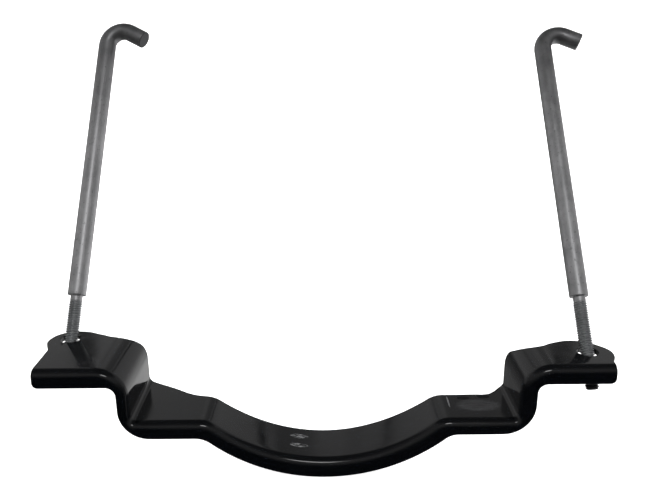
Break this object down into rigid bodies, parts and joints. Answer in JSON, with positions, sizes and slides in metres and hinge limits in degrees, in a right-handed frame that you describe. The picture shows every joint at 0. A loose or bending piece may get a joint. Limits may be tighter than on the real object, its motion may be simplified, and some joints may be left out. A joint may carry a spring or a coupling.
{
  "type": "saddle hold-down clamp",
  "caption": "Pressed steel saddle bracket with stepped end tabs, and long hook bolts that swing in their holes and draw up by nuts under the tabs.",
  "frame": {"origin": "lowest point of the saddle, on the web's top face, midway along the bracket", "axes": "+X along the bracket, +Y away from the front flange, +Z towards the hooks"},
  "size_m": [0.2466, 0.1092, 0.1828],
  "materials": {
    "black_enamel": "gloss black enamel over pressed sheet steel, scuffed",
    "grey_steel": "mottled grey phosphate, semi-matt",
    "zinc_plate": "dull zinc plate"
  },
  "bodies": {
    "bracket": {"saddle_bracket": "black_enamel"},
    "left_flat_washer": {"left_flat_washer": "zinc_plate"},
    "left_spring_washer": {"left_spring_washer": "zinc_plate"},
    "left_nut": {"left_hex_nut": "zinc_plate"},
    "left_hook_bolt": {"left_hook_bolt": "grey_steel"},
    "right_flat_washer": {"right_flat_washer": "zinc_plate"},
    "right_spring_washer": {"right_spring_washer": "zinc_plate"},
    "right_nut": {"right_hex_nut": "zinc_plate"},
    "right_hook_bolt": {"right_hook_bolt": "grey_steel"}
  },
  "joints": [
    {"name": "left_bolt_swing", "type": "hinge", "parent": "bracket", "child": "left_flat_washer", "pos_m": [-0.11165, 0.0182, 0.04115], "axis": [1, 0, 0], "range_deg": [-6, 66]},
    {"name": "left_hook_aim", "type": "hinge", "parent": "left_flat_washer", "child": "left_spring_washer", "pos_m": [-0.11165, 0.0182, 0.04115], "axis": [0.0576, 0.4977, 0.8655], "continuous": true},
    {"name": "left_nut_turn", "type": "hinge", "parent": "left_spring_washer", "child": "left_nut", "pos_m": [-0.11165, 0.0182, 0.04115], "axis": [0.0576, 0.4977, 0.8655], "range_deg": [-2161, 5401]},
    {"name": "left_bolt_draw", "type": "slide", "parent": "left_spring_washer", "child": "left_hook_bolt", "axis": [0.0576, 0.4977, 0.8655], "range_m": [-0.015, 0.006]},
    {"name": "right_bolt_swing", "type": "hinge", "parent": "bracket", "child": "right_flat_washer", "pos_m": [0.1103, 0.0008, 0.04115], "axis": [1, 0, 0], "range_deg": [-1, 71]},
    {"name": "right_hook_aim", "type": "hinge", "parent": "right_flat_washer", "child": "right_spring_washer", "pos_m": [0.1103, 0.0008, 0.04115], "axis": [-0.0279, 0.5762, 0.8168], "continuous": true},
    {"name": "right_nut_turn", "type": "hinge", "parent": "right_spring_washer", "child": "right_nut", "pos_m": [0.1103, 0.0008, 0.04115], "axis": [-0.0279, 0.5762, 0.8168], "range_deg": [-1081, 5761]},
    {"name": "right_bolt_draw", "type": "slide", "parent": "right_spring_washer", "child": "right_hook_bolt", "axis": [-0.0279, 0.5762, 0.8168], "range_m": [-0.016, 0.003]}
  ],
  "couplings": [
    {"joint": "left_nut_turn", "follows": "left_bolt_draw", "rad_per_m": -6283.2},
    {"joint": "right_nut_turn", "follows": "right_bolt_draw", "rad_per_m": -6283.2}
  ]
}
